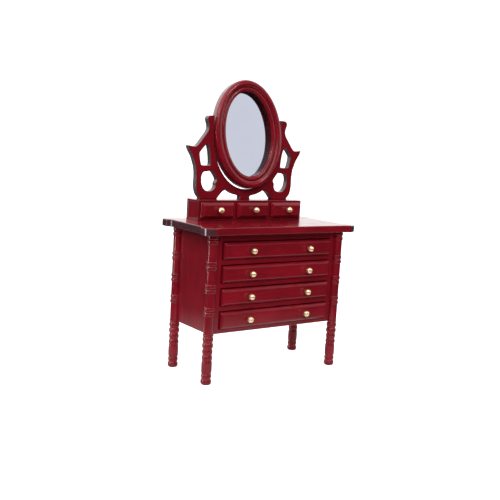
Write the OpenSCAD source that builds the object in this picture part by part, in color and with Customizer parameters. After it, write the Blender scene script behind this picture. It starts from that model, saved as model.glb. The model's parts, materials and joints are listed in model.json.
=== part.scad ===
// Miniature dressing table: chest of four long drawers, box of three small
// drawers, lyre bracket and tilting oval mirror.
// Millimetres. +Z up, front faces -Y, origin on the ground under the centre.

/* [Table top] */
// Overall width across the corner ears
top_width = 104; // [90:1:120]
// Overall depth across the corner ears
top_depth = 51; // [45:1:60]
// Height of the upper face above the ground
top_height = 85.5; // [75:0.5:95]
// Board thickness
top_thickness = 4; // [3:0.1:6]
// How far the ears stand out past the straight ends
ear_side = 2.4; // [1:0.1:4]
// How far the ears stand out past the straight front
ear_front = 1.6; // [1:0.1:3]
// Length of an ear along the end, with its hollow
ear_run_side = 10.4; // [9.4:0.1:12]
// Length of an ear along the front, with its hollow
ear_run_front = 6.9; // [5.5:0.1:8]
// Radius of the hollow beside each ear, on the end
hollow_side = 6; // [4:0.5:8]
// Radius of the hollow beside each ear, on the front
hollow_front = 7.4; // [5:0.2:9]

/* [Carcass] */
// Distance between the post axes, side to side
post_pitch_x = 88; // [78:1:96]
// Distance between the post axes, front to back
post_pitch_y = 36; // [30:1:42]
// Height of the underside of the carcass
carcass_bottom = 27.2; // [22:0.2:34]
// Thickness of side panels, stiles and rails
board = 2.6; // [2:0.1:3.4]
// Thickness of the back panel
back_board = 1.8; // [1:0.1:2.6]
// Thickness of the drawer shelves
shelf_board = 1.2; // [0.8:0.1:1.6]

/* [Posts] */
// Shaft radius of the posts beside the drawers
post_r = 2.7; // [2:0.1:2.9]
// Bead radius of the posts beside the drawers
post_bead_r = 3.05; // [2.9:0.05:3.3]
// Radius of the fullest bead of the legs
leg_r = 3.1; // [2.8:0.05:3.4]
// Radius in the grooves of the legs
leg_groove_r = 2.35; // [1.8:0.05:2.5]

/* [Long drawers] */
// Centre height of the lowest drawer
drawer_first = 34.45; // [32:0.05:37]
// Spacing of the drawer centres
drawer_pitch = 12.65; // [11:0.05:13]
// Half the width of a drawer front
drawer_half = 37.4; // [34:0.1:37.5]
// Height of a drawer front
drawer_high = 9.2; // [7:0.1:9.4]
// Bevel round the raised front
drawer_bevel = 1.2; // [0.5:0.1:1.6]
// Distance from the middle to a knob
knob_x = 19.8; // [12:0.1:30]
// Radius of every knob ball
knob_r = 1.75; // [1:0.05:2]
// How far the drawers are drawn open
drawer_open = 0; // [0:1:22]

/* [Small box] */
// Half the width of the box
box_half = 36.8; // [32:0.1:40]
// Front face of the box, measured from the middle of the table
box_front = 9.8; // [6:0.1:12]
// Back face of the box
box_back_y = 22.4; // [20:0.1:24]
// Outside height of the box
box_high = 11.5; // [9:0.1:14]
// Thickness of its boards
box_board = 1.0; // [0.8:0.1:1.5]
// Thickness of the two dividers
divider = 2.0; // [1:0.1:3]
// Bevel round the small drawer fronts
small_bevel = 1.6; // [0.5:0.1:2]

/* [Bracket and mirror] */
// Front face of the bracket
bracket_front = 17.3; // [16:0.1:19]
// Thickness of the bracket board
bracket_thick = 3.8; // [3:0.1:4.2]
// Half the width of the oval frame
frame_a = 23.5; // [20:0.1:23.5]
// Half the height of the oval frame
frame_b = 31.6; // [28:0.1:31.6]
// Width of the moulding at the sides of the glass
frame_side = 7.1; // [6:0.1:8]
// Width of the moulding above and below the glass
frame_end = 6.8; // [5.5:0.1:7.5]
// How far the moulding stands in front of the pivot axis
frame_front = 3; // [2:0.1:3.2]
// How far the moulding stands behind the pivot axis
frame_back = 3.1; // [2.8:0.1:3.2]
// Height of the pivot axis
pivot_z = 137; // [136:0.1:139]
// Height of the centre of the oval
oval_z = 135; // [135:0.1:136]
// Half the width of the bracket's opening
opening_a = 23.9; // [23.9:0.1:24.2]
// Half the height of the bracket's opening
opening_b = 31.5; // [31.5:0.1:32]
// Height of the centre of the bracket's opening
opening_z = 134.4; // [134:0.1:134.5]
// Lean of the mirror, top to the back
mirror_tilt = 8.5; // [-25:0.5:40]
// Radius of the pivot pins
pin_r = 0.5; // [0.3:0.05:0.6]

/* [Hidden] */
$fn = 48;
eps = 0.02;
px = post_pitch_x / 2;
py = post_pitch_y / 2;
inx = px - board;
iny = py - board;
carcass_top = top_height - top_thickness;
open_half = drawer_half + 0.4;
open_low = drawer_high / 2 + 0.2;
open_up = drawer_high / 2 + 0.5;
face_y = -(py + 1.1 + drawer_bevel);
box_z = top_height;
box_top_z = box_z + box_high;
box_wall = 1.2;
box_back_board = 2;
open_small = (2 * (box_half - box_wall) - 2 * divider) / 3;
small_half = open_small / 2 - 0.2;
small_pitch = open_small + divider;
small_z = box_z + box_high / 2;
small_high = box_high - 2 * box_board - 0.4;
pivot_y = bracket_front + 0.9;

// table top: the block that an ear is cut from, and its cut corner
ear_block = 9;
tip_side = 1.7;
tip_front = 2;
// legs: curve and ends of the barrel, then [height, below leg_r, length] of each bead
barrel_curve = 22;
barrel_low = 6.1;
barrel_high = 12.9;
leg_beads = [[1.6, 0.05, 2.9], [4.6, 0.2, 2.5], [14.65, 0.2, 3.1], [18.05, 0.25, 3.2], [21.5, 0.05, 3.1],
  [24.9, 0.05, 3.3]];
// posts: middle of each pair of beads, half their spacing and the length of a bead
pair_heights = [40, 52.4, 64.8, 78.65];
pair_spread = 1.35;
pair_bead = 2.3;
// front of the trays and raised face of the small drawers
tray_front = -py + 1.9;
small_face = box_front - 1 - small_bevel;
// knobs: length of the neck and radius of the peg
knob_neck = 0.62;
peg_r = 0.55;
// mirror: lip of the moulding, front and back of the glass, and its edge as a share of the moulding's width
lip_y = -1.3;
glass_y = 1.9;
glass_back = 2.4;
glass_edge = 0.73;
// pivot pins: inner and outer end, and running clearance in the frame
pin_in = 20.8;
pin_out = 26;
pin_clearance = 0.04;

red = [0.52, 0.07, 0.1];
wood = [0.72, 0.55, 0.38];
brass = [0.86, 0.68, 0.36];
silver = [0.78, 0.8, 0.85];
steel = [0.3, 0.29, 0.28];

// the sub-part to draw

// height of the centre of long drawer n, 1 at the top
function dz(n) = drawer_first + (4 - n) * drawer_pitch;

module block(x0, x1, y0, y1, z0, z1) {
  translate([x0, y0, z0]) cube([x1 - x0, y1 - y0, z1 - z0]);
}

// ---------- table top ----------
// one corner of the outline: straight end, hollow, tip, hollow, straight front
module top_corner() {
  ex = top_width / 2 - ear_side;
  ey = top_depth / 2 - ear_front;
  difference() {
    union() {
      square([ex, ey]);
      translate([ex - ear_block, ey - ear_block]) polygon([[0, 0], [ear_block + ear_side, 0],
        [ear_block + ear_side, ear_block - tip_side], [ear_block - tip_front, ear_block + ear_front],
        [0, ear_block + ear_front]]);
    }
    // hollow on the end
    translate([ex + hollow_side, ey - ear_run_side]) circle(r = hollow_side + eps);
    translate([ex, 0]) square([ear_block, ey - ear_run_side]);
    // hollow on the front
    translate([ex - ear_run_front, ey + hollow_front]) circle(r = hollow_front + eps);
    translate([0, ey]) square([ex - ear_run_front, ear_block]);
  }
}
module tabletop() {
  color(red) translate([0, 0, carcass_top]) linear_extrude(top_thickness)
    union() for (m = [0, 1], n = [0, 1]) mirror([m, 0]) mirror([0, n]) top_corner();
}

// ---------- posts ----------
// round bead of radius r and length h, its middle at height z
module bead(r, z, h) { translate([r - h / 2, z]) circle(r = h / 2); }
module post_profile() {
  intersection() {
    square([2 * leg_r, carcass_top]);
    union() {
      // leg: core, foot, collar under the carcass, barrel and beads
      square([leg_groove_r, carcass_bottom]);
      square([leg_r - 0.4, 2.2]);
      translate([0, carcass_bottom - 1.5]) square([post_r, 1.5]);
      intersection() {
        translate([leg_r - 0.2 - barrel_curve, (barrel_low + barrel_high) / 2])
          circle(r = barrel_curve, $fn = 96);
        translate([0, barrel_low]) square([2 * leg_r, barrel_high - barrel_low]);
      }
      for (b = leg_beads) bead(leg_r - b[1], b[0], b[2]);
      // shaft beside the drawers, with a pair of beads level with each rail
      translate([0, carcass_bottom]) square([post_r, carcass_top - carcass_bottom]);
      for (z = pair_heights, side = [-1, 1]) bead(post_bead_r, z + side * pair_spread, pair_bead);
    }
  }
}
module post(sx, sy) {
  color(red) difference() {
    union() {
      translate([sx * px, sy * py, 0]) rotate_extrude() post_profile();
      // square corner that the panels are glued to
      block(min(sx * px, sx * inx), max(sx * px, sx * inx),
        min(sy * py, sy * iny), max(sy * py, sy * iny), carcass_bottom, carcass_top);
    }
    // the round is cut away where the side panel and the stile or back panel are glued on
    block(min(sx * px, sx * (px - 5)), max(sx * px, sx * (px - 5)),
      min(sy * iny, sy * (iny - 5)), max(sy * iny, sy * (iny - 5)), carcass_bottom, carcass_top + 1);
    block(min(sx * inx, sx * (inx - 5)), max(sx * inx, sx * (inx - 5)),
      min(sy * py, sy * (py - 5)), max(sy * py, sy * (py - 5)), carcass_bottom, carcass_top + 1);
  }
}
module post_front_left() { post(-1, -1); }
module post_front_right() { post(1, -1); }
module post_back_left() { post(-1, 1); }
module post_back_right() { post(1, 1); }

// ---------- carcass ----------
module side_panel_left() { color(red) block(-px, -inx, -iny, iny, carcass_bottom, carcass_top); }
module side_panel_right() { color(red) block(inx, px, -iny, iny, carcass_bottom, carcass_top); }
module back_panel() { color(red) block(-inx, inx, py - back_board, py, carcass_bottom, carcass_top); }
// shelf under drawer n with a guide strip each side
module shelf(n, low) {
  z = dz(n) - open_low;
  color(wood) union() {
    block(-inx, inx, -iny, py - back_board, low, z);
    for (m = [0, 1]) mirror([m, 0, 0])
      block(drawer_half, inx, -iny, py - back_board, z - eps, z + 2);
  }
}
module floor_shelf() { shelf(4, dz(4) - open_low - 1.6); }
module shelf_2() { shelf(3, dz(3) - open_low - shelf_board); }
module shelf_3() { shelf(2, dz(2) - open_low - shelf_board); }
module shelf_4() { shelf(1, dz(1) - open_low - shelf_board); }
module stile_left() { color(red) block(-inx, -open_half, -py, -iny, carcass_bottom, carcass_top); }
module stile_right() { color(red) block(open_half, inx, -py, -iny, carcass_bottom, carcass_top); }
module rail(z0, z1) { color(red) block(-open_half, open_half, -py, -iny, z0, z1); }
module top_rail() { rail(dz(1) + open_up, carcass_top); }
module divider_rail_1() { rail(dz(2) + open_up, dz(1) - open_low); }
module divider_rail_2() { rail(dz(3) + open_up, dz(2) - open_low); }
module divider_rail_3() { rail(dz(4) + open_up, dz(3) - open_low); }
module bottom_rail() { rail(carcass_bottom, dz(4) - open_low); }

// ---------- drawers ----------
// raised front standing in XZ, centred, back face at y0, bevel ending at y1
module raised_front(hw, hh, y0, y1, b) {
  translate([-hw, y1 + b, -hh]) cube([2 * hw, y0 - y1 - b, 2 * hh]);
  // bevelled field made by cutting four sloping slabs off a block
  difference() {
    translate([-hw, y1, -hh]) cube([2 * hw, b + eps, 2 * hh]);
    for (m = [0, 1]) mirror([m, 0, 0])
      translate([hw, y1 + b, -hh - 1]) rotate([0, 0, 225]) cube([4 * b, 4 * b, 2 * hh + 2]);
    for (m = [0, 1]) mirror([0, 0, m])
      translate([-hw - 1, y1 + b, hh]) rotate([45, 0, 0]) translate([0, -4 * b, 0])
        cube([2 * hw + 2, 4 * b, 4 * b]);
  }
}
module tray(hw, y0, y1, z0, z1, w) {
  difference() {
    block(-hw, hw, y0, y1, z0, z1);
    block(-hw + w, hw - w, y0 + w * 0.7, y1 - w, z0 + w * 0.8, z1 + 1);
  }
}
// knob pointing to -Y, seat at the origin
module knob() {
  color(brass) union() {
    translate([0, -knob_r - knob_neck, 0]) sphere(r = knob_r);
    rotate([90, 0, 0]) cylinder(r = peg_r + 0.4, h = 0.35);
    rotate([90, 0, 0]) translate([0, 0, -1.4]) cylinder(r = peg_r, h = 2.6);
  }
}
module knob_hole() { rotate([-90, 0, 0]) translate([0, 0, -3]) cylinder(r = peg_r + eps, h = 4.5); }

module drawer_front(n) {
  color(red) translate([0, -drawer_open, 0]) difference() {
    translate([0, 0, dz(n)]) raised_front(drawer_half, drawer_high / 2, tray_front, face_y, drawer_bevel);
    for (s = [-1, 1]) translate([s * knob_x, face_y, dz(n)]) knob_hole();
  }
}
module drawer_tray(n) {
  color(wood) translate([0, -drawer_open, 0])
    tray(drawer_half - 0.1, tray_front, 13, dz(n) - open_low + 0.05, dz(n) + 3.4, 1.2);
}
module drawer_knob(n, s) { translate([s * knob_x, face_y - drawer_open, dz(n)]) knob(); }
module drawer_1_front() { drawer_front(1); }
module drawer_2_front() { drawer_front(2); }
module drawer_3_front() { drawer_front(3); }
module drawer_4_front() { drawer_front(4); }
module drawer_1_tray() { drawer_tray(1); }
module drawer_2_tray() { drawer_tray(2); }
module drawer_3_tray() { drawer_tray(3); }
module drawer_4_tray() { drawer_tray(4); }
module drawer_1_knob_left() { drawer_knob(1, -1); }
module drawer_1_knob_right() { drawer_knob(1, 1); }
module drawer_2_knob_left() { drawer_knob(2, -1); }
module drawer_2_knob_right() { drawer_knob(2, 1); }
module drawer_3_knob_left() { drawer_knob(3, -1); }
module drawer_3_knob_right() { drawer_knob(3, 1); }
module drawer_4_knob_left() { drawer_knob(4, -1); }
module drawer_4_knob_right() { drawer_knob(4, 1); }

// ---------- small box ----------
module box_level(z) { color(red) block(-box_half, box_half, box_front, box_back_y, z, z + box_board); }
module box_bottom() { box_level(box_z); }
module box_top() { box_level(box_top_z - box_board); }
module box_between(x0, x1, y0, y1) {
  color(red) block(x0, x1, y0, y1, box_z + box_board, box_top_z - box_board);
}
module box_upright(x0, x1) { box_between(x0, x1, box_front, box_back_y - box_back_board); }
module box_end_left() { box_upright(-box_half, -box_half + box_wall); }
module box_end_right() { box_upright(box_half - box_wall, box_half); }
module box_back() { box_between(-box_half, box_half, box_back_y - box_back_board, box_back_y); }
module box_divider_left() { box_upright(-small_pitch / 2 - divider / 2, -small_pitch / 2 + divider / 2); }
module box_divider_right() { box_upright(small_pitch / 2 - divider / 2, small_pitch / 2 + divider / 2); }
module small_front(i) {
  color(red) translate([i * small_pitch, 0, small_z]) difference() {
    raised_front(small_half, small_high / 2, box_front + 1.2, small_face, small_bevel);
    translate([0, small_face, 0.4]) knob_hole();
  }
}
module small_tray(i) {
  color(wood) translate([i * small_pitch, 0, 0])
    tray(small_half + 0.1, box_front + 1.2, box_back_y - box_back_board - 0.3, box_z + box_board + 0.05,
      box_top_z - box_board - 1.2, 0.9);
}
module small_knob(i) { translate([i * small_pitch, small_face, small_z + 0.4]) knob(); }
module small_drawer_left_front() { small_front(-1); }
module small_drawer_middle_front() { small_front(0); }
module small_drawer_right_front() { small_front(1); }
module small_drawer_left_tray() { small_tray(-1); }
module small_drawer_middle_tray() { small_tray(0); }
module small_drawer_right_tray() { small_tray(1); }
module small_drawer_left_knob() { small_knob(-1); }
module small_drawer_middle_knob() { small_knob(0); }
module small_drawer_right_knob() { small_knob(1); }

// ---------- bracket ----------
// right half of the lower and outer edge, measured from the box top (x, z)
half_outline = [[0, 0], [3.5, 0], [3.5, 2], [7, 2.7], [10, 3.7], [12.3, 4.9], [13.8, 5.3], [15.3, 4.9],
  [17.5, 3], [19.9, 0], [31.2, 0], [31.5, 0.8], [32.8, 2.3], [33.7, 4.2], [34.2, 6.5], [34.4, 9], [34.3, 12],
  [34.5, 15.5], [35, 18.5], [35.9, 21], [36.9, 23.5], [38.3, 25.8], [39.6, 28], [40.3, 30], [38, 29.7],
  [36.2, 29.5], [34.6, 30.1], [33.4, 31.2], [32.1, 32.9], [30.7, 34.7], [29.3, 36.5], [28.1, 38.2], [27.4, 40],
  [27.4, 41.7], [27.9, 43.4], [28.4, 45.1], [28.2, 46.2], [27.2, 47.1], [opening_a, 47.4]];
upper_hole = [[27.6, 31.4], [28.2, 31.3], [32.6, 26.4], [32.7, 25.8], [31.4, 19.6], [31, 19.3], [25.6, 19.3],
  [25.3, 19.7], [26.3, 28.6]];
lower_hole = [[24.2, 16.3], [22, 14.1], [20.3, 11.4], [20.3, 10.8], [21.2, 9.2], [21.1, 7.6], [22.2, 5.6],
  [24.4, 4.6], [27.2, 4.7], [29.2, 6.1], [30.4, 8.3], [30.9, 11.5], [30.4, 14.2], [29.2, 15.5], [27, 15.7],
  [25, 16.2]];
// the points of a right half, last to first, on the left
function left_half(points) = [for (i = [len(points) - 1:-1:1]) [-points[i][0], points[i][1]]];
module bracket_outline() {
  difference() {
    // the opening is the lower half of an oval, straight above its middle
    polygon(concat(half_outline,
      [for (t = [0:4:180]) [opening_a * cos(t), opening_z - box_top_z - opening_b * sin(t)]],
      left_half(half_outline)));
    for (m = [0, 1]) mirror([m, 0]) {
      polygon(upper_hole);
      polygon(lower_hole);
    }
  }
}
module bracket() {
  color(red) difference() {
    translate([0, bracket_front + bracket_thick, box_top_z]) rotate([90, 0, 0])
      linear_extrude(bracket_thick) bracket_outline();
    for (m = [0, 1]) mirror([m, 0, 0]) translate([pin_in, pivot_y, pivot_z]) rotate([0, 90, 0])
      cylinder(r = pin_r, h = pin_out - pin_in);
  }
}

// ---------- mirror ----------
// place a piece drawn in the mirror's own frame: XZ plane, pivot at the origin
module in_mirror() { translate([0, pivot_y, pivot_z]) rotate([-mirror_tilt, 0, 0]) children(); }
// oval plate between y0 and y1; share is 0 at the frame's edge and 1 at the opening for the glass
module oval(share, y0, y1) {
  translate([0, y1, oval_z - pivot_z]) rotate([90, 0, 0]) linear_extrude(y1 - y0)
    scale([frame_a - share * frame_side, frame_b - share * frame_end]) circle(r = 1, $fn = 96);
}
module mirror_frame() {
  color(red) in_mirror() difference() {
    oval(0, -frame_front, frame_back);
    // the inner bead lies lower than the outer one, and the lip lower still
    oval(0.62, -frame_front - 1, -frame_front + 0.7);
    oval(0.92, -frame_front - 1, lip_y);
    oval(1, -frame_front - 1, frame_back + 1);
    // rebate for the glass and its back board
    oval(glass_edge, glass_y - eps, frame_back + 1);
    for (m = [0, 1]) mirror([m, 0, 0]) translate([pin_in - 0.3, 0, 0]) rotate([0, 90, 0])
      cylinder(r = pin_r + pin_clearance, h = 5);
  }
}
module mirror_glass() { color(silver) in_mirror() oval(glass_edge + 0.01, glass_y, glass_back); }
module mirror_backing() { color(wood) in_mirror() oval(glass_edge + 0.01, glass_back, frame_back); }
module pin() {
  color(steel) translate([pin_in, pivot_y, pivot_z]) rotate([0, 90, 0])
    cylinder(r = pin_r, h = pin_out - pin_in);
}
module pivot_pin_left() { mirror([1, 0, 0]) pin(); }
module pivot_pin_right() { pin(); }

tabletop();
side_panel_left();
side_panel_right();
back_panel();
floor_shelf();
shelf_2();
shelf_3();
shelf_4();
stile_left();
stile_right();
top_rail();
divider_rail_1();
divider_rail_2();
divider_rail_3();
bottom_rail();
post_front_left();
post_front_right();
post_back_left();
post_back_right();
drawer_1_front();
drawer_1_tray();
drawer_1_knob_left();
drawer_1_knob_right();
drawer_2_front();
drawer_2_tray();
drawer_2_knob_left();
drawer_2_knob_right();
drawer_3_front();
drawer_3_tray();
drawer_3_knob_left();
drawer_3_knob_right();
drawer_4_front();
drawer_4_tray();
drawer_4_knob_left();
drawer_4_knob_right();
box_bottom();
box_top();
box_end_left();
box_end_right();
box_back();
box_divider_left();
box_divider_right();
small_drawer_left_front();
small_drawer_left_tray();
small_drawer_left_knob();
small_drawer_middle_front();
small_drawer_middle_tray();
small_drawer_middle_knob();
small_drawer_right_front();
small_drawer_right_tray();
small_drawer_right_knob();
bracket();
mirror_frame();
mirror_glass();
mirror_backing();
pivot_pin_left();
pivot_pin_right();
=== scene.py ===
import json
import math

import bmesh
import bpy
from mathutils import Matrix, Vector


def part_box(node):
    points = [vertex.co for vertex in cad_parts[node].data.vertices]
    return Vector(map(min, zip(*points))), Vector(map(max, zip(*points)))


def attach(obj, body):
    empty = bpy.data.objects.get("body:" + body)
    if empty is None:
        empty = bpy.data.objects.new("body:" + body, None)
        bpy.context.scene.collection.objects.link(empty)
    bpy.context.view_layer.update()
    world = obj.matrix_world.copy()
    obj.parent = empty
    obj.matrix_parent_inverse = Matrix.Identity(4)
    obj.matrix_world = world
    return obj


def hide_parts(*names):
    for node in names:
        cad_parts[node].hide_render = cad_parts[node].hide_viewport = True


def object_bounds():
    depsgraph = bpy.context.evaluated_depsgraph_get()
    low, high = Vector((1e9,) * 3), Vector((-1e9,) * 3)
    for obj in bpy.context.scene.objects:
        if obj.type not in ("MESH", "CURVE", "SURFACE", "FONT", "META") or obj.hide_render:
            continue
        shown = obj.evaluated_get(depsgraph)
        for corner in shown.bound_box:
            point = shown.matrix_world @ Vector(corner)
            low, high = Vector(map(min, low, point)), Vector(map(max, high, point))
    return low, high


MM = 0.001

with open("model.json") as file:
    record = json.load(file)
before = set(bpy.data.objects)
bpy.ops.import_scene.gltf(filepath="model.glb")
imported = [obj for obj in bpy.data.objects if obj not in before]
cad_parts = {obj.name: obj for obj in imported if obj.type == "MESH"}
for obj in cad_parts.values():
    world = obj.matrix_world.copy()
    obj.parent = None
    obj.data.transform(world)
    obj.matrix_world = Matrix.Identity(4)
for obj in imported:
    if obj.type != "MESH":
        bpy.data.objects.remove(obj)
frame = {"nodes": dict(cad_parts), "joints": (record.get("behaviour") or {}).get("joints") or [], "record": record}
cad_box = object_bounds()
NODES = frame["nodes"]
LOW, HIGH = (Vector(corner) for corner in cad_box)


# ---------------------------------------------------------------- camera
LENS_MM = 54.86
CAMERA_AT = Vector((-260.9, -351.7, 130.65)) * MM
YAW, PITCH, ROLL = math.radians(35.87), math.radians(-8.05), math.radians(3.32)


def add_camera():
    """Camera at CAMERA_AT that looks along +Y at yaw 0 and turns towards +X."""
    forward = Vector((math.sin(YAW) * math.cos(PITCH), math.cos(YAW) * math.cos(PITCH), math.sin(PITCH)))
    level = Vector((math.cos(YAW), -math.sin(YAW), 0))
    upright = level.cross(forward)
    right = math.cos(ROLL) * level + math.sin(ROLL) * upright
    up = -math.sin(ROLL) * level + math.cos(ROLL) * upright
    data = bpy.data.cameras.new("camera")
    data.lens = LENS_MM
    data.sensor_width = 36
    data.clip_start = 0.01
    data.clip_end = 50
    camera = bpy.data.objects.new("camera", data)
    bpy.context.scene.collection.objects.link(camera)
    camera.matrix_world = Matrix.Translation(CAMERA_AT) @ Matrix((right, up, -forward)).transposed().to_4x4()
    bpy.context.scene.camera = camera


# ---------------------------------------------------------------- node trees
def join(tree, value, target):
    """Links value into the target socket, or sets it there when it is a plain number or colour."""
    if isinstance(value, bpy.types.NodeSocket):
        tree.links.new(value, target)
    else:
        target.default_value = value


def combined(tree, operation, a, b):
    """The result of one arithmetic node over a and b, each a socket or a number."""
    node = tree.nodes.new("ShaderNodeMath")
    node.operation = operation
    join(tree, a, node.inputs[0])
    join(tree, b, node.inputs[1])
    return node.outputs["Value"]


def smooth_step(tree, value, start, end, low, high):
    """Goes smoothly from low, where value is at start, to high, where it is at end."""
    node = tree.nodes.new("ShaderNodeMapRange")
    node.interpolation_type = "SMOOTHSTEP"
    for socket, number in zip(("From Min", "From Max", "To Min", "To Max"), (start, end, low, high)):
        node.inputs[socket].default_value = number
    tree.links.new(value, node.inputs["Value"])
    return node.outputs["Result"]


# ---------------------------------------------------------------- materials
class Shader:
    """A material's node tree, with short ways to add and join nodes."""

    def __init__(self, name):
        self.material = bpy.data.materials.new(name)
        self.material.use_nodes = True
        self.tree = self.material.node_tree
        self.bsdf = self.tree.nodes["Principled BSDF"]
        self.coordinates = self.tree.nodes.new("ShaderNodeTexCoord").outputs["Object"]

    def put(self, **values):
        """Sets plain numbers and colours on the Principled shader's own sockets."""
        for key, value in values.items():
            self.bsdf.inputs[key.replace("_", " ")].default_value = value

    def link(self, source, target):
        self.tree.links.new(source, target)

    def stretched(self, scale):
        """The object's coordinates, scaled along each axis: a small number draws the pattern out."""
        node = self.tree.nodes.new("ShaderNodeMapping")
        node.inputs["Scale"].default_value = scale
        self.link(self.coordinates, node.inputs["Vector"])
        return node.outputs["Vector"]

    def noise(self, scale, vector=None, detail=4.0, roughness=0.55):
        node = self.tree.nodes.new("ShaderNodeTexNoise")
        node.inputs["Scale"].default_value = scale
        node.inputs["Detail"].default_value = detail
        node.inputs["Roughness"].default_value = roughness
        self.link(vector or self.coordinates, node.inputs["Vector"])
        return node.outputs["Fac"]

    def ramp(self, factor, *stops):
        """A colour ramp with (place, colour) stops, driven by factor."""
        node = self.tree.nodes.new("ShaderNodeValToRGB")
        elements = node.color_ramp.elements
        while len(elements) < len(stops):
            elements.new(0.5)
        for element, (place, colour) in zip(elements, stops):
            element.position = place
            element.color = colour if len(colour) == 4 else (*colour, 1)
        self.link(factor, node.inputs["Fac"])
        return node.outputs["Color"]

    def levels(self, factor, low, high):
        """factor's middle range spread from low to high."""
        node = self.tree.nodes.new("ShaderNodeMapRange")
        node.inputs["From Min"].default_value = 0.3
        node.inputs["From Max"].default_value = 0.7
        node.inputs["To Min"].default_value = low
        node.inputs["To Max"].default_value = high
        self.link(factor, node.inputs["Value"])
        return node.outputs["Result"]

    def mix(self, factor, a, b, blend="MIX"):
        node = self.tree.nodes.new("ShaderNodeMix")
        node.data_type = "RGBA"
        node.blend_type = blend
        for socket, value in (("Factor", factor), ("A", a), ("B", b)):
            join(self.tree, value, next(i for i in node.inputs if i.name == socket and i.enabled))
        return next(o for o in node.outputs if o.enabled)

    def bump(self, height, strength, distance):
        node = self.tree.nodes.new("ShaderNodeBump")
        node.inputs["Strength"].default_value = strength
        node.inputs["Distance"].default_value = distance
        self.link(height, node.inputs["Height"])
        return node.outputs["Normal"]


def lacquer(name, grain_axis, dark, middle, light, roughness=(0.16, 0.26), coat=0.5):
    """Lacquer over fine straight grain that runs along grain_axis (0, 1 or 2)."""
    s = Shader(name)
    long_way = [1.0, 1.0, 1.0]
    long_way[grain_axis] = 0.06
    fibre = s.noise(1900, s.stretched(long_way), 5, 0.6)
    cloud = s.noise(55, None, 3, 0.5)
    grain = s.ramp(fibre, (0.25, dark), (0.5, middle), (0.78, light))
    pale = s.ramp(cloud, (0.3, (0.72, 0.72, 0.72)), (0.7, (1, 1, 1)))
    s.link(s.mix(1.0, grain, pale, "MULTIPLY"), s.bsdf.inputs["Base Color"])
    s.link(s.levels(s.noise(160), *roughness), s.bsdf.inputs["Roughness"])
    ripple = s.noise(320, None, 2, 0.4)
    s.link(s.bump(s.mix(0.25, ripple, fibre), 0.12, 0.00006), s.bsdf.inputs["Normal"])
    s.put(Specular_IOR_Level=0.15, Coat_Weight=coat, Coat_Roughness=0.06, Coat_IOR=1.4)
    return s.material


def pale_wood(name, grain_axis):
    """Bare pale wood of the hidden boards, with fine grain along grain_axis."""
    s = Shader(name)
    long_way = [1.0, 1.0, 1.0]
    long_way[grain_axis] = 0.05
    fibre = s.noise(1500, s.stretched(long_way), 6, 0.65)
    grain = s.ramp(fibre, (0.3, (0.36, 0.21, 0.11)), (0.55, (0.53, 0.35, 0.2)), (0.75, (0.62, 0.44, 0.27)))
    s.link(grain, s.bsdf.inputs["Base Color"])
    s.link(s.levels(s.noise(200), 0.55, 0.72), s.bsdf.inputs["Roughness"])
    s.link(s.bump(fibre, 0.3, 0.00005), s.bsdf.inputs["Normal"])
    return s.material


def polished_brass():
    s = Shader("polished_brass")
    cloud = s.noise(420, None, 3, 0.5)
    s.link(s.ramp(cloud, (0.3, (0.95, 0.71, 0.42)), (0.7, (0.98, 0.77, 0.49))), s.bsdf.inputs["Base Color"])
    s.link(s.levels(s.noise(900), 0.2, 0.26), s.bsdf.inputs["Roughness"])
    s.put(Metallic=0.8)
    return s.material


def dark_wire():
    s = Shader("dark_wire")
    cloud = s.noise(700)
    s.link(s.ramp(cloud, (0.3, (0.07, 0.065, 0.06)), (0.7, (0.13, 0.12, 0.115))), s.bsdf.inputs["Base Color"])
    s.link(s.levels(s.noise(900), 0.35, 0.5), s.bsdf.inputs["Roughness"])
    s.put(Metallic=1.0)
    return s.material


def silvered_glass():
    s = Shader("silvered_glass")
    haze = s.noise(35, None, 2, 0.5)
    s.link(s.ramp(haze, (0.3, (0.53, 0.555, 0.66)), (0.7, (0.57, 0.59, 0.69))), s.bsdf.inputs["Base Color"])
    s.link(s.levels(s.noise(60), 0.03, 0.05), s.bsdf.inputs["Roughness"])
    s.put(Metallic=1.0, Coat_Weight=0.3, Coat_Roughness=0.02)
    return s.material


# reds, dark to light, as linear colours
DEEP, RED, BRIGHT = (0.14, 0.003, 0.0085), (0.19, 0.0045, 0.0115), (0.235, 0.0065, 0.015)
LACQUER = [lacquer("lacquer_along_" + "xyz"[axis], axis, DEEP, RED, BRIGHT) for axis in range(3)]
# the sawn edges are grey under the lacquer and the ends of the table top plum; the pale line at the ears'
# outer corners is a painted highlight, and the mirror's recess is near black as painted shade
CUT_EDGE = lacquer("lacquered_cut_edge", 1, (0.075, 0.06, 0.066), (0.11, 0.09, 0.098), (0.155, 0.13, 0.138),
                   (0.22, 0.34))
END_GRAIN = lacquer("lacquered_end_grain", 1, (0.03, 0.01, 0.014), (0.052, 0.018, 0.024),
                    (0.075, 0.03, 0.036), (0.22, 0.34))
# pale painted highlight on the narrow facet at each ear's tip
PAINTED_HIGHLIGHT_TIP = lacquer("painted_highlight_tip", 2, (0.3, 0.22, 0.24), (0.4, 0.31, 0.33), (0.48, 0.38, 0.4), (0.22, 0.34))
# near-black painted shade for the wall of the mirror's recess, with no coat
PAINTED_SHADE_WALL = lacquer("lacquer_painted_shade_wall", 2, (0.035, 0.002, 0.004), (0.055, 0.003, 0.006), (0.08, 0.005, 0.009),
                 (0.45, 0.55), coat=0.0)
PALE_WOOD = [pale_wood("bare_wood_along_" + "xyz"[axis], axis) for axis in range(3)]
BRASS = polished_brass()
WIRE = dark_wire()
GLASS = silvered_glass()


# ---------------------------------------------------------------- mesh helpers
def body_of(node):
    return next(b for b, members in frame["record"]["behaviour"]["bodies"].items() if node in members)


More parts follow.
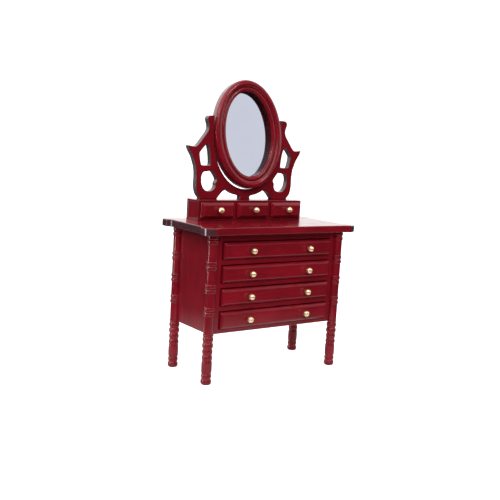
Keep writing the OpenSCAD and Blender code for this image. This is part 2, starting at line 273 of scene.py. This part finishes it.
def place(name, bm, materials, node, *more_nodes, weighted=False, bevel=None, sharp=35):
    """Makes a piece from bm that stands for node (and more_nodes), on its body and with the given materials.
    bevel rounds its edges to that width, and weighted keeps its flat faces flat beside rounded ones. On other
    pieces the edges that turn by more than sharp degrees stay sharp."""
    mesh = bpy.data.meshes.new(name)
    bm.normal_update()
    bm.to_mesh(mesh)
    bm.free()
    for material in materials:
        mesh.materials.append(material)
    piece = bpy.data.objects.new(name, mesh)
    bpy.context.scene.collection.objects.link(piece)
    if bevel:
        mesh.shade_smooth()
        modifier = piece.modifiers.new("rounded edges", "BEVEL")
        modifier.width = bevel
        modifier.segments = 3
        modifier.limit_method = "ANGLE"
        modifier.angle_limit = math.radians(28)
        modifier.harden_normals = False
        modifier.miter_outer = "MITER_ARC"
    if weighted or bevel:
        piece.modifiers.new("flat faces stay flat", "WEIGHTED_NORMAL").keep_sharp = True
    bpy.context.view_layer.update()
    if bevel or weighted:
        graph = bpy.context.evaluated_depsgraph_get()
        mesh = bpy.data.meshes.new_from_object(piece.evaluated_get(graph))
        piece.modifiers.clear()
        piece.data = mesh
    else:
        mesh.shade_smooth()
        mesh.set_sharp_from_angle(angle=math.radians(sharp))
    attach(piece, body_of(node))
    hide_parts(node, *more_nodes)


def block(bm, low, high):
    """Adds a closed box to bm."""
    bmesh.ops.create_cube(bm, size=1.0, matrix=Matrix.Translation((low + high) / 2)
                          @ Matrix.Diagonal((*(high - low), 1)))


def softened(node, name, material, width, ends=None):
    """The CAD node's flat-faced shape with clean faces and rounded edges.
    ends is the material of its faces towards +X and -X, where they differ."""
    bm = bmesh.new()
    bm.from_mesh(NODES[node].data)
    bmesh.ops.remove_doubles(bm, verts=bm.verts, dist=1e-6)
    bmesh.ops.dissolve_limit(bm, angle_limit=math.radians(1), verts=bm.verts, edges=bm.edges)
    for face in bm.faces:
        face.material_index = 0
    if ends:
        paint(bm, lambda face: abs(face.normal.x) > 0.9, 1)
    place(name, bm, [material, ends] if ends else [material], node, bevel=width)


def lathe(profile, sides, at, axis="Z"):
    """A closed turned shape. profile is (radius, height) pairs from one end to the other, on the axis
    at both."""
    bm = bmesh.new()
    rings = []
    for radius, height in profile:
        if radius < 1e-7:
            rings.append([bm.verts.new((0, 0, height))])
        else:
            turns = [math.tau * k / sides for k in range(sides)]
            rings.append([bm.verts.new((radius * math.cos(a), radius * math.sin(a), height)) for a in turns])
    for lower, upper in zip(rings, rings[1:]):
        for k in range(sides):
            n = (k + 1) % sides
            corners = []
            for ring, i in ((lower, k), (lower, n), (upper, n), (upper, k)):
                vert = ring[i % len(ring)]
                if vert not in corners:
                    corners.append(vert)
            if len(corners) > 2:
                bm.faces.new(corners)
    bmesh.ops.recalc_face_normals(bm, faces=bm.faces)
    turn = Matrix.Identity(4)
    if axis != "Z":
        turn = Matrix.Rotation(math.radians(90), 4, "X" if axis == "-Y" else "Y")
    bmesh.ops.transform(bm, matrix=Matrix.Translation(at) @ turn, verts=bm.verts)
    return bm


def smooth_path(points, steps=6, closed=True):
    """Smooth curve through points, without loops where they lie unevenly (centripetal Catmull-Rom).
    A point written with a third value True stays a sharp corner."""
    count = len(points)
    out = []
    for i in range(count if closed else count - 1):
        p1, p2 = points[i], points[(i + 1) % count]
        a, b = Vector(p1[:2]), Vector(p2[:2])
        before = Vector(points[i - 1][:2]) if (closed or i) and len(p1) < 3 else a - (b - a) * 0.5
        after = points[(i + 2) % count] if closed or i + 2 < count else None
        after = Vector(after[:2]) if after and len(p2) < 3 else b + (b - a) * 0.5
        t1 = math.sqrt((a - before).length)
        t2 = t1 + math.sqrt((b - a).length)
        t3 = t2 + math.sqrt((after - b).length)
        for k in range(steps):
            t = t1 + (t2 - t1) * k / steps
            a1 = before.lerp(a, t / t1)
            a2 = a.lerp(b, (t - t1) / (t2 - t1))
            a3 = b.lerp(after, (t - t2) / (t3 - t2))
            b1 = a1.lerp(a2, t / t2)
            b2 = a2.lerp(a3, (t - t1) / (t3 - t1))
            out.append(b1.lerp(b2, (t - t1) / (t2 - t1)))
    if not closed:
        out.append(Vector(points[-1][:2]))
    return out


def sheet_solid(name, outlines, thickness, rounding):
    """A flat board from closed outlines (the first is the outside, the rest are holes), its edges rounded.
    It lies in XY, centred on Z."""
    data = bpy.data.curves.new(name, "CURVE")
    data.dimensions = "2D"
    data.fill_mode = "BOTH"
    data.extrude = thickness / 2 - rounding
    data.bevel_depth = rounding
    data.bevel_resolution = 2
    data.offset = -rounding
    for outline in outlines:
        spline = data.splines.new("POLY")
        spline.points.add(len(outline) - 1)
        for point, (x, y) in zip(spline.points, outline):
            point.co = (x, y, 0, 1)
        spline.use_cyclic_u = True
    curve = bpy.data.objects.new(name, data)
    bpy.context.scene.collection.objects.link(curve)
    bpy.context.view_layer.update()
    mesh = bpy.data.meshes.new_from_object(curve.evaluated_get(bpy.context.evaluated_depsgraph_get()))
    bpy.data.objects.remove(curve)
    bm = bmesh.new()
    bm.from_mesh(mesh)
    bmesh.ops.remove_doubles(bm, verts=bm.verts, dist=2e-6)
    bmesh.ops.recalc_face_normals(bm, faces=bm.faces)
    for face in bm.faces:
        face.material_index = 0
    return bm


def paint(bm, rule, index):
    """Gives the faces that pass rule the material at index."""
    bm.normal_update()
    for face in bm.faces:
        if rule(face):
            face.material_index = index


# ---------------------------------------------------------------- table top
# all in millimetres: how far the ears stand out past the straight ends and front, where the hollows beside
# them start, and the hollows' radii
EAR_SIDE, EAR_FRONT = 2.4, 1.6
HOLLOW_SIDE_FROM, HOLLOW_FRONT_FROM = 12, 6.9
HOLLOW_SIDE_R, HOLLOW_FRONT_R = 6, 7.4
# corners of an ear's cut tip, (in from the end, in from the front): a narrow facet, then a wide one
TIP = ((0, 3.3), (0.29, 2.25), (4.1, 0.2))
TOP_ROUNDING = 0.45


def table_top():
    low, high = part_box("tabletop")
    half_x, half_y = high.x, high.y
    end_x, front_y = half_x - EAR_SIDE * MM, half_y - EAR_FRONT * MM
    side_r, front_r = HOLLOW_SIDE_R * MM, HOLLOW_FRONT_R * MM
    side_at = (end_x + side_r, half_y - HOLLOW_SIDE_FROM * MM)
    front_at = (end_x - HOLLOW_FRONT_FROM * MM, front_y + front_r)
    side_turn = math.acos((side_r - EAR_SIDE * MM) / side_r)
    front_turn = math.acos((front_r - EAR_FRONT * MM) / front_r)
    steps = 8
    # one quarter of the outline, from the end's middle round to the front's middle
    quarter = [(end_x, side_at[1])]
    for k in range(1, steps + 1):
        a = math.pi - side_turn * k / steps
        quarter.append((side_at[0] + side_r * math.cos(a), side_at[1] + side_r * math.sin(a)))
    quarter += [(half_x - x * MM, half_y - y * MM) for x, y in TIP]
    for k in range(steps, -1, -1):
        a = -math.pi / 2 + front_turn * k / steps
        quarter.append((front_at[0] + front_r * math.cos(a), front_at[1] + front_r * math.sin(a)))
    outline = list(quarter)
    outline += [(-x, y) for x, y in reversed(quarter)]
    outline += [(-x, -y) for x, y in quarter]
    outline += [(x, -y) for x, y in reversed(quarter)]
    bm = sheet_solid("top", [outline], high.z - low.z, TOP_ROUNDING * MM)
    bmesh.ops.translate(bm, vec=(0, 0, (low.z + high.z) / 2), verts=bm.verts)
    paint(bm, lambda face: abs(face.normal.z) < 0.6 and abs(face.normal.x) > 0.3
          and face.normal.x * face.calc_center_median().x > 0, 1)
    # the narrow facets at the ears' tips take the pale painted highlight
    facet_y = half_y - (TIP[0][1] + 0.05) * MM
    paint(bm, lambda face: abs(face.normal.z) < 0.6 and abs(face.normal.x) > 0.85
          and abs(face.calc_center_median().y) > facet_y, 2)
    place("table_top_board", bm, [LACQUER[0], END_GRAIN, PAINTED_HIGHLIGHT_TIP], "tabletop", weighted=True)


# ---------------------------------------------------------------- posts
# all in millimetres: the posts' axes, the boards between them and the underside of the carcass
POST_X, POST_Y = 44, 18
BOARD = 2.6
CARCASS_LOW = 27.2
# (height, radius, length) of each turned bead; between them the wood dips to a groove
LEG_BEADS = ((1.6, 3.02, 3.2), (4.6, 2.9, 2.7), (14.65, 2.9, 3.4), (18.05, 2.85, 3.4), (21.45, 3.05, 3.4),
             (24.85, 3.0, 3.4))
BARREL = (9.5, 2.92, 7.0)
COLLAR = (CARCASS_LOW, 3.0, 0.9)
PAIR_HEIGHTS = (40.0, 52.4, 64.8, 78.65)
POST_BEADS = tuple((z + side * 1.35, 3.05, 2.4) for z in PAIR_HEIGHTS for side in (-1, 1))
FOOT_R, POST_R = 2.3, 2.7
LEG_GROOVE_R, POST_GROOVE_R = 2.42, 2.5
GROOVE_EDGE = 0.12
# (steps, power of the sine that gives its section) of a bead: the lower the power, the fuller it is
LEG_CURVE, POST_CURVE, BARREL_CURVE = (14, 0.75), (14, 0.8), (20, 0.42)


def post_profile(top):
    """(radius, height) pairs in metres, from the foot to the table top."""
    profile = [(0, 0), (FOOT_R, 0)]
    at = 0.0
    for bead in sorted(LEG_BEADS + (BARREL, COLLAR) + POST_BEADS):
        z, radius, length = bead
        low, high = z - length / 2, z + length / 2
        on_leg = high < CARCASS_LOW
        groove = LEG_GROOVE_R if on_leg else POST_GROOVE_R
        steps, power = BARREL_CURVE if bead == BARREL else LEG_CURVE if on_leg else POST_CURVE
        if low > at + 2 * GROOVE_EDGE:
            profile += [(POST_R, at + GROOVE_EDGE), (POST_R, low - GROOVE_EDGE)]
        for k in range(steps + 1):
            turn = math.pi * k / steps
            rise = k / steps if bead in LEG_BEADS else (1 - math.cos(turn)) / 2
            height = low + length * rise
            if height > profile[-1][1]:
                profile.append((groove + (radius - groove) * math.sin(turn) ** power, height))
        at = high
    profile += [(POST_R, at + GROOVE_EDGE), (POST_R, top / MM), (0, top / MM)]
    return [(radius * MM, height * MM) for radius, height in profile]


def posts():
    for depth, sy in (("front", -1), ("back", 1)):
        for side, sx in (("left", -1), ("right", 1)):
            node = "post_%s_%s" % (depth, side)
            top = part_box(node)[1].z
            bm = lathe(post_profile(top), 40, Vector((sx * POST_X * MM, sy * POST_Y * MM, 0)))
            # the square corner inside the round, which the boards are glued to
            inner = Vector((sx * (POST_X - BOARD) * MM, sy * (POST_Y - BOARD) * MM, CARCASS_LOW * MM))
            outer = Vector((sx * POST_X * MM, sy * POST_Y * MM, top))
            block(bm, Vector(map(min, inner, outer)), Vector(map(max, inner, outer)))
            place(node.replace("post", "turned_post"), bm, [LACQUER[2]], node, sharp=40)


# ---------------------------------------------------------------- carcass boards
# widths of the rounded edges of panels, the face frame, thin boards, the small box and its dividers
PANEL_EDGE, FRAME_EDGE, THIN_EDGE, BOX_EDGE, DIVIDER_EDGE = (w * MM for w in (0.28, 0.15, 0.12, 0.22, 0.2))


def boards():
    for side in ("left", "right"):
        softened("side_panel_" + side, "side_board_" + side, LACQUER[2], PANEL_EDGE)
        softened("stile_" + side, "front_stile_" + side, LACQUER[2], THIN_EDGE)
        softened("box_end_" + side, "box_end_board_" + side, LACQUER[0], FRAME_EDGE)
        softened("box_divider_" + side, "box_divider_board_" + side, LACQUER[2], DIVIDER_EDGE)
    for node in ("top_rail", "divider_rail_1", "divider_rail_2", "divider_rail_3", "bottom_rail"):
        softened(node, "front_" + node, LACQUER[0], FRAME_EDGE)
    softened("back_panel", "carcass_back_board", LACQUER[2], PANEL_EDGE)
    for node in ("floor_shelf", "shelf_2", "shelf_3", "shelf_4"):
        softened(node, node + "_board", PALE_WOOD[0], THIN_EDGE)
    for node in ("box_bottom", "box_top"):
        softened(node, node + "_board", LACQUER[0], BOX_EDGE)
    softened("box_back", "box_back_board", LACQUER[0], BOX_EDGE, ends=CUT_EDGE)


# ---------------------------------------------------------------- drawers
# rounding and bevel of a drawer front
LONG_FRONT = (0.4 * MM, 1.2 * MM)
SMALL_FRONT = (0.25 * MM, 1.6 * MM)
# knobs, in millimetres: radius and length of the neck, and how far it goes into the drawer front
NECK_R, NECK_LONG, NECK_IN = 0.5, 0.62, 0.4


def raised_front(node, name, rounding, bevel):
    """Drawer front: a slab that stands proud of the frame, then a bevel all round up to the raised face.
    rounding is the width of its softened edges."""
    low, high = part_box(node)
    shoulder = low.y + bevel
    bm = bmesh.new()
    rings = []
    for y, inset in ((high.y, 0), (shoulder, 0), (low.y, bevel)):
        rings.append([bm.verts.new((x, y, z)) for x, z in (
            (low.x + inset, low.z + inset), (high.x - inset, low.z + inset),
            (high.x - inset, high.z - inset), (low.x + inset, high.z - inset))])
    bm.faces.new(rings[0])
    bm.faces.new(list(reversed(rings[2])))
    for back, front in zip(rings, rings[1:]):
        for k in range(4):
            n = (k + 1) % 4
            bm.faces.new((back[k], front[k], front[n], back[n]))
    bmesh.ops.recalc_face_normals(bm, faces=bm.faces)
    place(name, bm, [LACQUER[0]], node, bevel=rounding)


def knob(node, name):
    """Brass ball on a short neck that is a little wider at the drawer front."""
    low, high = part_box(node)
    centre = (low + high) / 2
    radius = (high.x - low.x) / 2
    ball_y = low.y + radius
    seat_y = ball_y + radius + NECK_LONG * MM
    wide, narrow = NECK_R * MM, NECK_R * 0.94 * MM
    profile = [(0, -NECK_IN * MM), (wide, -NECK_IN * MM), (wide, 0.0), (narrow, 0.2 * MM), (narrow, 0.4 * MM)]
    first = math.asin(wide / radius)
    steps = 18
    for k in range(steps):
        a = first + (math.pi - first) * k / steps
        profile.append((radius * math.sin(a), seat_y - ball_y - radius * math.cos(a)))
    profile.append((0.0, seat_y - ball_y + radius))
    bm = lathe(profile, 36, Vector((centre.x, seat_y, centre.z)), axis="-Y")
    place(name, bm, [BRASS], node, sharp=50)


def drawers():
    for n in range(1, 5):
        front = "drawer_%d_front" % n
        raised_front(front, "long_drawer_%d_front" % n, *LONG_FRONT)
        softened("drawer_%d_tray" % n, "long_drawer_%d_tray" % n, PALE_WOOD[0], FRAME_EDGE)
        for side in ("left", "right"):
            knob("drawer_%d_knob_%s" % (n, side), "long_drawer_%d_knob_%s" % (n, side))
    for side in ("left", "middle", "right"):
        stem = "small_drawer_" + side
        raised_front(stem + "_front", stem + "_raised_front", *SMALL_FRONT)
        softened(stem + "_tray", stem + "_box", PALE_WOOD[0], THIN_EDGE)
        knob(stem + "_knob", stem + "_brass_knob")


# ---------------------------------------------------------------- bracket
# right half of the outline in millimetres, (x, height above the small box); True marks a sharp corner
OUTER_RIGHT = [(3.5, 0, True), (3.5, 1.6), (4.2, 2.05), (7, 2.7), (10, 3.7), (12.3, 4.9), (13.8, 5.3),
               (15.3, 4.9), (17.5, 3.0), (19.9, 0, True), (31.2, 0, True), (31.5, 0.8), (32.8, 2.3),
               (33.7, 4.2), (34.2, 6.5), (34.4, 9), (34.3, 12), (34.5, 15.5), (35.0, 18.5), (35.9, 21),
               (36.9, 23.5), (38.3, 25.8), (39.6, 28), (40.3, 30, True), (38, 29.7), (36.2, 29.5),
               (34.6, 30.1), (33.4, 31.2), (32.1, 32.9), (30.7, 34.7), (29.3, 36.5), (28.1, 38.2),
               (27.4, 40), (27.4, 41.7), (27.9, 43.4), (28.4, 45.1), (28.2, 46.2), (27.2, 47.1),
               (24.2, 47.4, True), (23.9, 47.1, True)]
UPPER_HOLE = [(27.6, 31.4), (28.2, 31.3), (32.5, 26.5), (32.7, 25.8), (31.4, 19.6), (31.0, 19.3),
              (25.6, 19.3), (25.3, 19.7), (26.3, 28.6)]
LOWER_HOLE = [(24.2, 16.3), (22.0, 14.1), (20.3, 11.4), (20.3, 10.8), (21.2, 9.2), (21.1, 7.6),
              (22.2, 5.6), (24.4, 4.6), (27.2, 4.7), (29.2, 6.1), (30.4, 8.3), (30.9, 11.5),
              (30.4, 14.2), (29.2, 15.5), (27, 15.7), (25, 16.2)]
# the oval opening for the mirror: height of its centre above the floor, and half its width and height
OPENING_Z, OPENING_A, OPENING_B = 134.4, 23.9, 31.5
BRACKET_ROUNDING = 0.32


def bracket():
    low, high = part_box("bracket")
    base = low.z / MM
    right = [Vector(p) for p in smooth_path(OUTER_RIGHT, 4, closed=False)]
    oval = [Vector((OPENING_A * math.cos(a), OPENING_Z - base + OPENING_B * math.sin(a)))
            for a in (-math.pi * k / 72 for k in range(73))]
    outline = right + oval + [Vector((-p.x, p.y)) for p in reversed(right)]
    loops = [outline]
    for hole in (UPPER_HOLE, LOWER_HOLE):
        curve = smooth_path(hole, 4)
        loops.append(curve)
        loops.append([Vector((-p.x, p.y)) for p in reversed(curve)])
    loops = [[p * MM for p in loop] for loop in loops]
    bm = sheet_solid("bracket", loops, high.y - low.y, BRACKET_ROUNDING * MM)
    turn = Matrix.Rotation(math.radians(90), 4, "X")
    move = Matrix.Translation((0, (low.y + high.y) / 2, low.z))
    bmesh.ops.transform(bm, matrix=move @ turn, verts=bm.verts)
    paint(bm, lambda face: abs(face.normal.y) < 0.35, 1)
    place("lyre_bracket", bm, [LACQUER[2], CUT_EDGE], "bracket", weighted=True)


# ---------------------------------------------------------------- mirror
PIVOT = next(Vector(j["pos_m"]) for j in frame["joints"] if j["name"] == "mirror_tilt")
LEAN = math.radians(8.5)
# all in millimetres: half the frame's width and height, and the height of the oval's centre
FRAME_A, FRAME_B, OVAL_Z = 23.5, 31.6, 135.0
# width of the moulding beside the glass, and that above and below it
MOULDING_SIDE, MOULDING_END = 7.1, 6.8
# depths from the pivot axis: front and back of the moulding, its lip by the glass, and the glass
FRONT_Y, BACK_Y, LIP_Y, GLASS_Y = -3.0, 3.1, -1.3, 1.9
# centre and radii of the outer and inner bead and of the rounded lip, each (along the inset, along the depth)
OUTER_BEAD = ((2.15, FRONT_Y + 1.9), (2.15, 1.9))
INNER_BEAD = ((5.45, FRONT_Y + 1.75), (1.25, 1.0))
ROUNDED_LIP = ((6.65, LIP_Y + 0.12), (0.45, 0.3))
# inset of the rebate that holds the glass and its backing, and of their edge
REBATE, PLATE_EDGE = 5.15, 5.2


def mirror_place():
    return Matrix.Translation(PIVOT) @ Matrix.Rotation(-LEAN, 4, "X")


def oval_ring(profile, sides=144, closed=True, recess=()):
    """A moulding swept round the oval. profile is (inset from the outer edge, depth) pairs in millimetres,
    the inset being measured at the sides; above and below the glass the moulding is narrower. The strips that
    start at the points numbered in recess take the second material, which is painted shade."""
    bm = bmesh.new()
    rings = []
    centre = OVAL_Z - PIVOT.z / MM
    narrower = MOULDING_END / MOULDING_SIDE
    for k in range(sides):
        a = math.tau * k / sides
        rings.append([bm.verts.new(Vector(((FRAME_A - inset) * math.cos(a), depth,
                                           centre + (FRAME_B - inset * narrower) * math.sin(a))) * MM)
                      for inset, depth in profile])
    count = len(profile)
    for k in range(sides):
        here, there = rings[k], rings[(k + 1) % sides]
        for i in range(count if closed else count - 1):
            n = (i + 1) % count
            bm.faces.new((here[i], here[n], there[n], there[i])).material_index = int(i in recess)
    if not closed:
        for i in (0, count - 1):
            bm.faces.new([ring[i] for ring in rings])
    bmesh.ops.recalc_face_normals(bm, faces=bm.faces)
    bmesh.ops.transform(bm, matrix=mirror_place(), verts=bm.verts)
    return bm


def arc(centre, radius, start, end, steps=8):
    """Points on an arc in the moulding's section; radius is (along the inset, along the depth)."""
    return [(centre[0] + radius[0] * math.cos(math.radians(start + (end - start) * k / steps)),
             centre[1] + radius[1] * math.sin(math.radians(start + (end - start) * k / steps)))
            for k in range(steps + 1)]


def mirror():
    section = [(0.3, BACK_Y), (0.0, BACK_Y - 0.3), (0.0, OUTER_BEAD[0][1])]
    section += arc(*OUTER_BEAD, 180, 328, 18)
    section += [(4.15, FRONT_Y + 0.95)]
    section += arc(*INNER_BEAD, 200, 338, 12)
    section += arc(*ROUNDED_LIP, 270, 350, 5)
    wall = len(section)
    section += [(MOULDING_SIDE, LIP_Y + 0.3), (MOULDING_SIDE, GLASS_Y - 0.02), (REBATE, GLASS_Y - 0.02),
                (REBATE, BACK_Y)]
    # the inner wall down to the glass and the ledge beside it take the near-black painted shade
    bm = oval_ring(section, recess=(wall, wall + 1))
    place("oval_frame", bm, [LACQUER[2], PAINTED_SHADE_WALL], "mirror_frame", sharp=48)
    plate = [(PLATE_EDGE, GLASS_Y + 0.45), (PLATE_EDGE, GLASS_Y + 0.08), (PLATE_EDGE + 0.08, GLASS_Y)]
    place("mirror_plate", oval_ring(plate, closed=False), [GLASS], "mirror_glass", sharp=30)
    backing = [(PLATE_EDGE, GLASS_Y + 0.5), (PLATE_EDGE, BACK_Y - 0.12), (PLATE_EDGE + 0.12, BACK_Y)]
    place("mirror_back_board", oval_ring(backing, closed=False), [PALE_WOOD[2]], "mirror_backing", sharp=30)


def pivots():
    for side, sx in (("left", -1), ("right", 1)):
        node = "pivot_pin_" + side
        low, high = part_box(node)
        radius = (high.z - low.z) / 2
        length = high.x - low.x
        profile = [(0, 0), (radius * 0.8, 0), (radius, radius * 0.2), (radius, length - radius * 0.2),
                   (radius * 0.8, length), (0, length)]
        bm = lathe(profile, 24, Vector((low.x, (low.y + high.y) / 2, (low.z + high.z) / 2)), axis="X")
        place("wire_pin_" + side, bm, [WIRE], node, sharp=40)


# ---------------------------------------------------------------- stage
DIM = 0.04
# (direction, inner and outer edge as the cosine of the angle from it, strength) of each bright part of the
# studio: behind to the right, behind to the left, left, overhead and over the camera's shoulder
BRIGHT_PARTS = (((0.8, 0.6, 0), 0.12, 0.6, 1.35),
                ((-0.42, 0.8, 0.43), 0.85, 0.97, 1.8),
                ((-0.72, 0.2, 0.66), 0.82, 0.96, 1.3),
                ((-0.25, 0.15, 0.95), 0.6, 0.92, 2.2),
                ((-0.4, -0.55, 0.73), 0.85, 0.96, 2.4))
# distances in metres between which the floor's colour turns from pale to dark, a painted shade
FLOOR_SHADE_EDGE = (0.1, 0.2)
# name, place and aim from the object's middle, width and height, watts, and whether the light itself shows in
# reflections and whether it lights matt surfaces
LIGHTS = (("key", (-0.22, -0.6, 0.38), (0, 0, 0), (0.35, 0.25), 2.9, False, True),
          ("glint_left", (-0.45, -0.08, 0.39), (0, 0, 0), (0.12, 0.12), 0.6, True, False),
          ("glint_right", (0.19, -0.42, 0.39), (0, 0, 0), (0.12, 0.12), 0.6, True, False),
          ("fill", (-0.6, -0.05, 0.35), (0, 0, 0), (0.25, 0.3), 1.2, False, True),
          ("low_fill", (-0.35, -0.55, -0.02), (0, 0, 0), (0.3, 0.12), 0.45, False, True),
          ("mirror_card", (0.6, -0.75, 0.35), (0, 0, 0.06), (0.5, 0.3), 0.47, True, True))


def area_light(name, at, target, size, power, mirrored, diffused):
    data = bpy.data.lights.new(name, "AREA")
    data.shape = "RECTANGLE"
    data.size, data.size_y = size
    data.energy = power
    light = bpy.data.objects.new(name, data)
    bpy.context.scene.collection.objects.link(light)
    light.location = at
    light.visible_glossy = mirrored
    light.visible_diffuse = diffused
    light.rotation_euler = (Vector(target) - Vector(at)).to_track_quat("-Z", "Y").to_euler()


def studio_world():
    """White in BRIGHT_PARTS and dim elsewhere; the camera itself sees plain white."""
    world = bpy.data.worlds.new("studio")
    world.use_nodes = True
    tree = world.node_tree
    direction = tree.nodes.new("ShaderNodeTexCoord").outputs["Generated"]
    brightest = tree.nodes.new("ShaderNodeLightPath").outputs["Is Camera Ray"]
    for towards, start, end, strength in BRIGHT_PARTS:
        along = tree.nodes.new("ShaderNodeVectorMath")
        along.operation = "DOT_PRODUCT"
        along.inputs[1].default_value = towards
        tree.links.new(direction, along.inputs[0])
        part = smooth_step(tree, along.outputs["Value"], start, end, DIM, strength)
        brightest = combined(tree, "MAXIMUM", brightest, part)
    background = tree.nodes["Background"]
    background.inputs["Color"].default_value = (1, 1, 1, 1)
    tree.links.new(brightest, background.inputs["Strength"])
    return world


def pale_floor():
    """Pale floor, plain white to the camera. To reflections and bounced light it is pale close to the object and
    dark further out: a painted pool of light round the object, with painted shade beyond."""
    s = Shader("pale_floor")
    away = s.tree.nodes.new("ShaderNodeVectorMath")
    away.operation = "LENGTH"
    s.link(s.coordinates, away.inputs[0])
    # the floor's colour goes dark away from the object, painted shade where the light falls off
    near = smooth_step(s.tree, away.outputs["Value"], *FLOOR_SHADE_EDGE, 1.0, 0.0)
    camera_ray = s.tree.nodes.new("ShaderNodeLightPath").outputs["Is Camera Ray"]
    unshaded = combined(s.tree, "MAXIMUM", camera_ray, near)
    s.link(s.mix(unshaded, (0.03, 0.03, 0.03, 1), (0.6, 0.6, 0.605, 1)), s.bsdf.inputs["Base Color"])
    s.put(Roughness=0.8, Specular_IOR_Level=0.0)
    white = s.tree.nodes.new("ShaderNodeEmission")
    s.link(combined(s.tree, "MULTIPLY", camera_ray, 0.8), white.inputs["Strength"])
    both = s.tree.nodes.new("ShaderNodeAddShader")
    s.link(s.bsdf.outputs["BSDF"], both.inputs[0])
    s.link(white.outputs["Emission"], both.inputs[1])
    s.link(both.outputs["Shader"], s.tree.nodes["Material Output"].inputs["Surface"])
    return s.material


def stage():
    scene = bpy.context.scene
    scene.view_settings.view_transform = "Standard"
    scene.world = studio_world()
    bm = bmesh.new()
    bmesh.ops.create_grid(bm, x_segments=1, y_segments=1, size=6)
    mesh = bpy.data.meshes.new("floor")
    bm.to_mesh(mesh)
    bm.free()
    mesh.materials.append(pale_floor())
    floor = bpy.data.objects.new("floor", mesh)
    scene.collection.objects.link(floor)
    middle = (LOW + HIGH) / 2
    for name, offset, aim, size, power, mirrored, diffused in LIGHTS:
        area_light(name, middle + Vector(offset), middle + Vector(aim), size, power, mirrored, diffused)
    # a tall strip that draws one thin line down each post
    area_light("strip", (-0.28, 0.08, 0.11), (-0.044, -0.018, 0.11), (0.03, 0.2), 0.4, True, False)


add_camera()
table_top()
posts()
boards()
drawers()
bracket()
mirror()
pivots()
stage()
bpy.context.view_layer.update()
